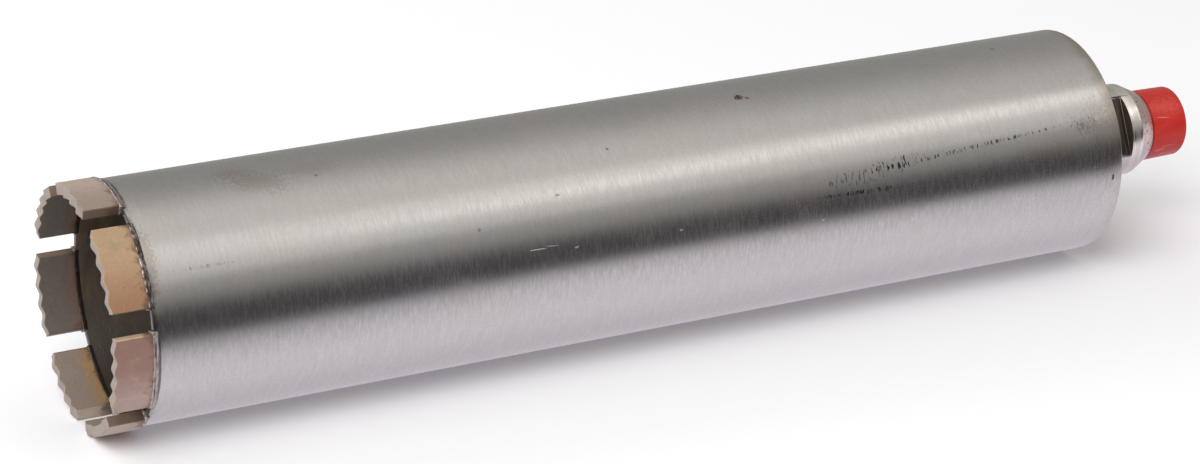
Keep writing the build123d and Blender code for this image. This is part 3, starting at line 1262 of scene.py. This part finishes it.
@dataclass
class Crown(Maker):
    """Seven diamond segments, bare where a face looks far enough to the front.

    Facing is the X of its normal under which a face is part of the cutting face.
    """

    outer_radius: float = CROWN_OUTER_RADIUS
    inner_radius: float = CROWN_INNER_RADIUS
    foot_x: float = SEGMENT_FOOT_X
    length: float = 0.024
    height: float = 0.0105
    wave_pitch: float = 0.0057
    wave_height: float = 0.00075
    sharpness: float = 0.05
    columns: int = 84
    rows: int = 26
    layers: int = 8
    edge_break: float = 0.00022
    relief_size: float = 0.0011
    relief: float = 0.00009
    facing: float = -0.55
    # The inner tones are lit and shaded copies: the ash inside the two lowest segments,
    # whose inner faces look up, is painted light, and the dark default inside of the others
    # is painted shade.
    looks: tuple[SegmentLook, ...] = (
        SegmentLook(BondTone.STONE, BondTone.ASH, BondTone.ROSE),
        SegmentLook(BondTone.TAN, BondTone.COPPER, BondTone.KHAKI,
                    first_end=BondTone.BUFF),
        SegmentLook(BondTone.MAUVE, BondTone.ROSE, BondTone.ASH,
                    first_end=BondTone.BUFF),
        SegmentLook(BondTone.STONE, BondTone.MAUVE, BondTone.ROSE, BondTone.ASH,
                    BondTone.OCHRE),
        SegmentLook(BondTone.STONE, BondTone.MAUVE, BondTone.ROSE, BondTone.ASH,
                    BondTone.OCHRE, BondTone.STONE),
        SegmentLook(BondTone.ROSE, BondTone.STONE, BondTone.ASH),
        SegmentLook(BondTone.STONE, BondTone.TAN, BondTone.ROSE),
    )

    @property
    def mean_radius(self) -> float:
        """Radius at half thickness of the segments."""
        return (self.outer_radius + self.inner_radius) / 2

    def arc(self, overrun: float = 0.0) -> float:
        """Angle in degrees of one segment with an overrun at both ends."""
        return math.degrees((self.length + 2 * overrun) / self.mean_radius)

    def wave(self, along: float) -> float:
        """Height of the cutting wave.

        Args:
            along: Place along the segment, from its middle, in metres.

        Returns:
            Height above the valleys.
        """
        phase = math.tau * along / self.wave_pitch
        sharpened = math.cos(phase) + self.sharpness * math.cos(3 * phase)
        return self.wave_height * (0.5 - 0.5 * sharpened / (1.0 + self.sharpness))

    def pattern_segment(self) -> Piece:
        """Model the uppermost segment with its wavy cutting face.

        Returns:
            The segment, in object mode.
        """
        thickness = self.outer_radius - self.inner_radius
        block = Bench.fresh(bpy.ops.mesh.primitive_grid_add, "segment_pattern", size=1.0,
                            x_subdivisions=self.rows, y_subdivisions=self.layers)
        Bench.shape(block, (self.height, thickness, 1.0),
                    (self.foot_x - self.height / 2, 0.0, self.mean_radius), 90.0)
        Bench.edit(block)
        Bench.sweep(block, self.arc(), self.columns)
        Bench.edit(block)
        half_step = math.radians(self.arc() / self.columns) / 2
        for column in range(self.columns + 1):
            turn = math.radians(self.arc() * (column / self.columns - 0.5))
            Bench.pick(block, lambda co: abs(angle_of(co) - turn) < half_step)
            longer = 1.0 + self.wave(turn * self.mean_radius) / self.height
            bpy.ops.transform.resize(value=(longer, 1.0, 1.0),
                                     center_override=(self.foot_x, 0.0, 0.0))
        Bench.settle()
        Bench.soften(block, self.edge_break, 2, 50.0)
        return block

    def build(self) -> None:
        """Copy the segment round the crown and give each copy its own tint."""
        pattern = self.pattern_segment()
        dressed = DressedFace().material()
        for index, look in enumerate(self.looks):
            number = index + 1
            turn = segment_turn(index)
            segment = Bench.copy(pattern, f"crown_segment_{number}", turn)
            Bench.roughen(segment, self.relief_size, self.relief, 2)
            Bench.smooth(segment, 45.0)
            bond = DiamondBond(name=f"diamond_bond_{number}", look=look,
                               middle=math.radians(math.remainder(turn, 360.0)),
                               half_arc=math.radians(self.arc() / 2))
            self.finish_piece(segment, "diamond_segment", f"segment_{number}",
                              bond.material(), dressed,
                              second=lambda face: face.normal.x < self.facing)
        bpy.data.objects.remove(pattern, do_unlink=True)


@dataclass(frozen=True)
class Droplet:
    """A drop of solder that ran beside a joint."""

    x: float
    angle: float
    radius: float
    size: float
    flattened: Triple = (1.0, 0.85, 0.7)

    def model(self) -> Piece:
        """Model the drop as a flattened bead.

        Returns:
            The drop, in object mode.
        """
        bead = Bench.fresh(bpy.ops.mesh.primitive_ico_sphere_add, "solder_drop",
                           subdivisions=3, radius=self.size)
        Bench.shape(bead, self.flattened, (self.x, 0.0, self.radius))
        Bench.turn(bead, self.angle)
        return bead


@dataclass
class SolderJoints(Maker):
    """Uneven silver-solder bead under each segment, with a few loose drops."""

    overrun: float = 0.0005
    toe_outside: float = 0.0012
    toe_inside: float = 0.0008
    bulge: float = 0.00018
    bed: float = 0.00025
    columns: int = 110
    edge_break: float = 0.00012
    relief_size: float = 0.0016
    relief: float = 0.00035
    covers: tuple[float, ...] = (0.55, 0.86, 0.34, 0.55, 0.66, 0.70, 0.60)
    tarnishes: tuple[float, ...] = (0.7, 0.95, 0.6, 0.7, 0.8, 0.8, 0.7)
    drops: dict[int, tuple[Droplet, ...]] = field(default_factory=lambda: {
        2: (Droplet(-0.3456, 69.8, 0.0352, 0.0007),),
        3: (Droplet(-0.3452, 84.2, 0.0355, 0.0008),
            Droplet(-0.3455, 123.0, 0.0352, 0.0007)),
        5: (Droplet(-0.3457, 187.3, 0.0334, 0.0007),),
    })

    def section(self) -> list[Point]:
        """Draw the joint's profile: a bed under the segment, a bead at both corners.

        Returns:
            Points as (station, radius).
        """
        rim, foot = BARREL_RIM_X, SEGMENT_FOOT_X
        outer, inner = BARREL_OUTER_RADIUS, BARREL_INNER_RADIUS
        return [
            (foot - self.bed, CROWN_INNER_RADIUS + self.bed),
            (foot - self.bed, CROWN_OUTER_RADIUS - self.bed),
            (foot, CROWN_OUTER_RADIUS),
            (rim, CROWN_OUTER_RADIUS - 0.0001 + self.bulge / 2),
            (rim + self.toe_outside / 2, outer + 0.00025 + self.bulge / 2),
            (rim + self.toe_outside * 0.85, outer + 0.0001),
            (rim + self.toe_outside, outer - self.bed),
            (rim + self.bed, outer - self.bed),
            (rim + self.bed, inner + self.bed),
            (rim + self.toe_inside, inner + self.bed),
            (rim + self.toe_inside, inner - 0.00005),
            (rim, inner - 0.0003),
            (foot, CROWN_INNER_RADIUS),
        ]

    def pattern_bead(self) -> Piece:
        """Sweep the joint's section under the uppermost segment.

        Returns:
            The bead, in object mode.
        """
        bead = Bench.outline("bead_pattern", self.section())
        bpy.ops.mesh.select_all(action="SELECT")
        bpy.ops.mesh.edge_face_add()
        Bench.sweep(bead, Crown().arc(self.overrun), self.columns)
        Bench.soften(bead, self.edge_break, 2, 40.0)
        return bead

    def build(self) -> None:
        """Copy the bead round the crown, make each uneven and add its drops."""
        pattern = self.pattern_bead()
        for index, (cover, tarnished) in enumerate(zip(self.covers, self.tarnishes)):
            number = index + 1
            bead = Bench.copy(pattern, f"solder_joint_{number}", segment_turn(index))
            Bench.roughen(bead, self.relief_size, self.relief, 3)
            drops = [drop.model() for drop in self.drops.get(number, ())]
            Bench.take(bead, *drops)
            if drops:
                bpy.ops.object.join()
            Bench.smooth(bead, 60.0)
            solder = SilverSolder(name=f"silver_solder_{number}", cover=cover,
                                  tarnished=tarnished)
            self.finish_piece(bead, "silver_solder", f"braze_{number}", solder.material())
        bpy.data.objects.remove(pattern, do_unlink=True)


@dataclass
class ClosedEnd(Maker):
    """Back plate and the weld runs that hold it and the connector.

    The swells round a run's skin, and its rooted share lies still under the ripples.
    """

    plate_radius: float = BARREL_INNER_RADIUS
    plate_break: float = 0.0006
    weld_reach: float = 0.0022
    hub_leg: float = 0.0025
    crown_swell: float = 0.0003
    side_swell: float = 0.0001
    rooted: float = 0.2
    groove_pitch: float = 0.0009
    groove_depth: float = 0.00004
    steps: int = 192
    weld_steps: int = 288
    ripples: int = 96
    ripple_depth: float = 0.10

    def build_plate(self) -> None:
        """Turn the plate with fine facing grooves on its rear."""
        grooves = int((self.plate_radius - SPIGOT_RADIUS) / self.groove_pitch)
        radii = spaced(self.plate_radius, SPIGOT_RADIUS, grooves)
        rear = [(PLATE_REAR_X - (self.groove_depth if index % 2 else 0.0), radius)
                for index, radius in enumerate(radii)]
        front = [(PLATE_FRONT_X, SPIGOT_RADIUS),
                 (PLATE_FRONT_X, self.plate_radius - self.plate_break),
                 (PLATE_FRONT_X + self.plate_break, self.plate_radius)]
        plate = Bench.turned("back_disc", rear + front, self.steps)
        Bench.smooth(plate, 30.0)
        finish = TurnedSteel(name="faced_plate", steel=(0.52, 0.505, 0.48),
                             dull=(0.36, 0.345, 0.33), grimy=0.35)
        self.finish_piece(plate, "plate_steel", "back_plate", finish.material())

    def weld(self, name: str, node: str, root: Point, tall: Point, wide: Point) -> None:
        """Lay one ring of weld with ripples round it.

        Args:
            name: Name of the piece.
            node: CAD node that it stands for.
            root: Corner of the joint, as (station, radius).
            tall: Toe on the wall, as (station, radius).
            wide: Toe on the plate, as (station, radius).
        """
        lean = math.copysign(1.0, wide[1] - root[1])

        def between(first: Point, second: Point, swell: float) -> Point:
            """Middle of two points, pushed out of the joint."""
            return ((first[0] + second[0]) / 2 + swell,
                    (first[1] + second[1]) / 2 + swell * lean)

        crown = between(tall, wide, self.crown_swell)
        section = [root, tall, between(tall, crown, self.side_swell), crown,
                   between(wide, crown, self.side_swell), wide]
        run = Bench.turned(name, section, self.weld_steps)
        Bench.edit(run)
        step = math.tau / self.weld_steps
        skin = min(abs(tall[0] - root[0]), abs(wide[1] - root[1])) * self.rooted
        for column in range(self.weld_steps):
            turn = column * step - math.pi
            ripple = (column * self.ripples / self.weld_steps) % 1.0
            grow = 1.0 + self.ripple_depth * (0.5 - ripple)
            Bench.pick(run, lambda co: abs(math.remainder(angle_of(co) - turn, math.tau))
                       < step / 2 and co.x > root[0] + skin)
            bpy.ops.transform.resize(value=(grow, grow, grow),
                                     center_override=on_ring(*root, turn))
        Bench.settle()
        Bench.smooth(run, 60.0)
        self.finish_piece(run, "weld_metal", node, WeldMetal(name=name).material())

    def build(self) -> None:
        """Make the plate and both welds."""
        self.build_plate()
        self.weld("rim_weld_run", "tube_weld", (PLATE_REAR_X, self.plate_radius),
                  (BARREL_REAR_X, self.plate_radius),
                  (PLATE_REAR_X, self.plate_radius - self.weld_reach))
        self.weld("hub_weld_run", "hub_weld", (PLATE_REAR_X, COLLAR_RADIUS),
                  (PLATE_REAR_X + self.hub_leg, COLLAR_RADIUS),
                  (PLATE_REAR_X, COLLAR_RADIUS + self.hub_leg))


@dataclass
class Connector(Maker):
    """Turned connector with spanner flats, a cone, and a spigot under the cap.

    The corner's shape gives its points back along the collar and down from it.
    """

    collar_radius: float = COLLAR_RADIUS
    shoulder_radius: float = 0.01145
    band_length: float = 0.0040
    flat_length: float = 0.0150
    spanner_size: float = 0.0220
    flat_angle: float = 64.5
    relief_length: float = 0.0018
    bore_break: float = 0.0008
    edge_break: float = 0.00012
    steps: int = 192
    lip: float = 0.0002
    corner: float = 0.00035
    corner_shape: tuple[Point, ...] = ((1.0, 0.0), (0.3, 0.12), (-0.5, 0.55))
    cutter_width: float = 0.04
    cutter_depth: float = 0.01

    def blank(self) -> Piece:
        """Turn the connector before its flats are milled.

        Returns:
            The blank, in object mode.
        """
        depth = THREAD_MAJOR_RADIUS - THREAD_MINOR_RADIUS
        profile = [
            (PLATE_FRONT_X, WATER_BORE_RADIUS),
            (PLATE_FRONT_X, SPIGOT_RADIUS),
            (PLATE_REAR_X, SPIGOT_RADIUS),
            (PLATE_REAR_X, self.collar_radius),
            *((CONE_START_X - self.corner * along, self.collar_radius - self.corner * drop)
              for along, drop in self.corner_shape),
            (SHOULDER_X - self.lip, self.shoulder_radius + self.lip / 2),
            (SHOULDER_X, self.shoulder_radius - self.lip),
            (SHOULDER_X, THREAD_MINOR_RADIUS),
            (SHOULDER_X + self.relief_length, THREAD_MINOR_RADIUS),
            (SHOULDER_X + self.relief_length + depth, THREAD_MAJOR_RADIUS),
            (THREAD_END_X - depth, THREAD_MAJOR_RADIUS),
            (THREAD_END_X, THREAD_MINOR_RADIUS),
            (THREAD_END_X, WATER_BORE_RADIUS + self.bore_break),
            (THREAD_END_X - self.bore_break, WATER_BORE_RADIUS),
        ]
        return Bench.turned("connector_body", profile, self.steps)

    def build(self) -> None:
        """Turn the connector, mill its two spanner flats and dress it."""
        body = self.blank()
        end_x = CONE_START_X - self.band_length
        for side in (0.0, 180.0):
            cutter = Bench.fresh(bpy.ops.mesh.primitive_cube_add, "flat_cutter", size=1.0)
            Bench.shape(cutter, (self.flat_length, self.cutter_width, self.cutter_depth),
                        (end_x - self.flat_length / 2, 0.0,
                         (self.spanner_size + self.cutter_depth) / 2))
            Bench.turn(cutter, self.flat_angle + side)
            Bench.cut(body, cutter)
        Bench.soften(body, self.edge_break, 2, 25.0)
        Bench.smooth(body, 25.0)
        recess = OilAndReflectionRecess(station=end_x, angle=self.flat_angle)
        flat = on_ring(0.0, 1.0, math.radians(self.flat_angle))

        def milled(face: bpy.types.MeshPolygon) -> bool:
            """Tell the milled faces from the turned ones.

            Args:
                face: A face of the connector.

            Returns:
                Whether it is on a flat or on a flat's end wall.
            """
            level = abs(face.normal.dot(flat)) > ALIGNED
            wall = (abs(face.normal.x) > ALIGNED
                    and abs(face.center.dot(flat)) > self.spanner_size / 2)
            return end_x - self.flat_length < face.center.x < end_x + SLACK and (
                level or wall)

        self.finish_piece(body, "turned_steel", "connector",
                          TurnedSteel(grimy=0.3, shade=1.0).material(), recess.material(),
                          second=milled)


@dataclass
class ThreadCap(Maker):
    """Push-on plastic cap with a rounded end."""

    wall: float = 0.00092
    end_clearance: float = 0.0003
    end_wall: float = 0.0010
    draft: float = 1.0
    end_round: float = 0.0008
    round_steps: int = 6
    mouth_break: float = 0.00015
    dimple_depth: float = 0.00012
    dimple_edge: float = 0.0035
    dimple_floor: float = 0.0024
    steps: int = 192

    def build(self) -> None:
        """Turn the cup, round its end and dress it."""
        inner_end = THREAD_END_X + self.end_clearance
        outer_end = inner_end + self.end_wall
        mouth = THREAD_MAJOR_RADIUS + self.wall
        end = mouth - (outer_end - SHOULDER_X) * math.tan(math.radians(self.draft))
        turns = [math.radians(angle) for angle in spaced(0.0, 90.0, self.round_steps)]
        profile = [
            (SHOULDER_X, THREAD_MAJOR_RADIUS),
            (SHOULDER_X, mouth - self.mouth_break),
            (SHOULDER_X + self.mouth_break, mouth),
            *((outer_end - self.end_round * (1 - math.sin(turn)),
               end - self.end_round * (1 - math.cos(turn))) for turn in turns),
            (outer_end, self.dimple_edge),
            (outer_end - self.dimple_depth, self.dimple_floor),
            (outer_end - self.dimple_depth, 0.0),
            (inner_end, 0.0),
            (inner_end, THREAD_MAJOR_RADIUS),
        ]
        cup = Bench.turned("plastic_cap", profile, self.steps)
        Bench.smooth(cup, 35.0)
        self.finish_piece(cup, "red_plastic", "thread_cap", MouldedPlastic().material())


# ------------------------------------------------------------------ studio
@dataclass(frozen=True)
class Softbox:
    """One rectangular lamp: where it hangs, what it faces, its size and its watts."""

    name: str
    place: Triple
    aim: Triple
    size: Point
    power: float

    def hang(self) -> None:
        """Hang the lamp in the studio."""
        data = bpy.data.lights.new(self.name, "AREA")
        data.shape = "RECTANGLE"
        data.size, data.size_y = self.size
        data.energy = self.power
        lamp = bpy.data.objects.new(self.name, data)
        bpy.context.scene.collection.objects.link(lamp)
        lamp.location = self.place
        lamp.rotation_mode = "QUATERNION"
        sight = Vector(self.aim) - Vector(self.place)
        lamp.rotation_quaternion = sight.to_track_quat("-Z", "Y")


@dataclass
class Studio:
    """Pale floor, soft light and the grey surroundings that the steel reflects.

    The sky's stops are its greys by height, and the tint is the warmth of them all.
    """

    floor_size: float = 60.0
    ceiling_lean: float = 0.15
    sky_tint: Colour = (1.0, 0.99, 0.975)
    sky_stops: tuple[Point, ...] = (
        (0.0, 0.34), (0.26, 0.36), (0.5, 0.39), (0.70, 0.47), (0.80, 0.58), (0.86, 0.68),
        (0.90, 0.77), (0.966, 0.83), (1.0, 0.87))
    lamps: tuple[Softbox, ...] = (
        Softbox("key_softbox", (-1.35, -0.95, 1.35), (-0.2, 0.0, 0.0), (1.5, 1.5), 30.0),
        Softbox("strip_softbox", (0.85, -0.53, 1.14), (0.50, 0.0, 0.0), (1.4, 0.24), 0.50),
        Softbox("wide_softbox", (0.80, -0.78, 1.03), (0.75, 0.0, 0.0), (1.8, 0.84), 1.50),
        Softbox("fill_softbox", (-1.1, 1.3, 1.0), (-0.2, 0.0, 0.0), (1.4, 1.0), 10.0),
    )
    card_size: Triple = (8.0, 6.64, 1.0)
    card_place: Triple = (-0.2, 2.68, FLOOR_Z + 0.0003)
    card_height: float = 0.34
    card_colour: Colour = (0.065, 0.062, 0.067)
    floor_glow: Colour = (0.91, 0.893, 0.99)
    under_glow: Colour = (0.70, 0.672, 0.755)
    back_grey: Colour = (0.37, 0.36, 0.35)

    def floor(self) -> None:
        """Lay the floor that the bit rests on."""
        floor = Bench.fresh(bpy.ops.mesh.primitive_plane_add, "floor", size=self.floor_size)
        floor.location.z = FLOOR_Z
        floor.data.materials.append(PaleFloor().material())

    def sky(self) -> None:
        """Put up grey surroundings that brighten towards the ceiling."""
        world = bpy.data.worlds.new("studio_walls")
        bpy.context.scene.world = world
        world.use_nodes = True
        graph = Graph(world.node_tree, "Generated")
        _, back, up = graph.parts()
        height = graph.minus(up, graph.times(back, self.ceiling_lean))
        ramp = world.node_tree.nodes.new("ShaderNodeValToRGB")
        elements = ramp.color_ramp.elements
        for position, level in self.sky_stops:
            stop = (elements[0] if position == 0.0 else
                    elements[-1] if position == 1.0 else elements.new(position))
            stop.color = (*(level * part for part in self.sky_tint), 1.0)
        graph.feed(ramp.inputs[0], height)
        graph.feed(graph.found("BACKGROUND").inputs["Color"], ramp.outputs[0])

    def card_material(self) -> Material:
        """Draw the card: dark in front, glowing like the floor below, grey behind.

        Returns:
            A material that only glows, and fades out towards the card's top.
        """
        material = bpy.data.materials.new("black_card")
        material.use_nodes = True
        graph = Graph(material.node_tree)
        graph.tree.nodes.remove(graph.found("BSDF_PRINCIPLED"))
        x, y, z = graph.parts()
        slant = graph.minus(y, graph.span(x, -0.32, -0.14, 0.028, 0.0))
        lit = graph.blend(graph.span(y, -0.045, -0.012), self.floor_glow, self.under_glow)
        colour = graph.coats(self.card_colour,
                             (graph.span(slant, -0.205, -0.07), 1.0, lit),
                             (graph.span(slant, 0.08, 0.35), 1.0, self.back_grey))
        mix = graph.node("ShaderNodeMixShader", {
            0: graph.span(z, 0.02, 0.29, 1.0, 0.0),
            1: graph.node("ShaderNodeBsdfTransparent")[0],
            2: graph.node("ShaderNodeEmission", {"Color": colour})[0]})
        graph.feed(graph.found("OUTPUT_MATERIAL").inputs["Surface"], mix[0])
        return material

    def front_card(self) -> None:
        """Stand up the card that gives the steel its dark band on the near side."""
        card = Bench.fresh(bpy.ops.mesh.primitive_grid_add, "front_card", size=1.0,
                           x_subdivisions=2, y_subdivisions=2)
        Bench.shape(card, self.card_size, self.card_place)
        front = self.card_place[1] - self.card_size[1] / 2
        Bench.edit(card)
        Bench.pick(card, lambda co: co.y < front + SLACK)
        bpy.ops.mesh.extrude_region_move(
            TRANSFORM_OT_translate={"value": (0.0, 0.0, self.card_height)})
        Bench.clear()
        card.data.materials.append(self.card_material())
        for ray in ("camera", "diffuse", "shadow", "transmission"):
            setattr(card, "visible_" + ray, False)

    def build(self) -> None:
        """Set up the floor, the surroundings, the lamps and the card."""
        self.floor()
        self.sky()
        for lamp in self.lamps:
            lamp.hang()
        self.front_card()
        log.info("studio ready")


@dataclass
class Viewpoint:
    """Camera in front of the crown, a little above the bit."""

    location: Triple = (-0.6057, -0.8282, 0.3606)
    right: Triple = (0.896024, -0.443961, 0.006321)
    up: Triple = (0.157571, 0.331262, 0.930289)
    back: Triple = (-0.415106, -0.832565, 0.366773)
    lens: float = 99.36
    sensor: float = 36.0

    def build(self) -> None:
        """Place the camera and make it the scene's own."""
        data = bpy.data.cameras.new("camera")
        data.lens, data.sensor_width = self.lens, self.sensor
        data.sensor_fit = "HORIZONTAL"
        data.clip_start, data.clip_end = 0.01, 100.0
        camera = bpy.data.objects.new("camera", data)
        bpy.context.scene.collection.objects.link(camera)
        turn = Matrix((self.right, self.up, self.back)).transposed()
        camera.matrix_world = Matrix.Translation(self.location) @ turn.to_4x4()
        bpy.context.scene.camera = camera
        log.info("camera ready")


def main() -> None:
    """Build every piece, the studio and the camera."""
    logging.basicConfig(level=logging.INFO, format="%(name)s: %(message)s")
    bpy.context.scene.view_settings.view_transform = "Standard"
    for part in (Viewpoint, Barrel, Crown, SolderJoints, ClosedEnd, Connector, ThreadCap,
                 Studio):
        part().build()
    Bench.clear()


if __name__ == "__main__":
    main()
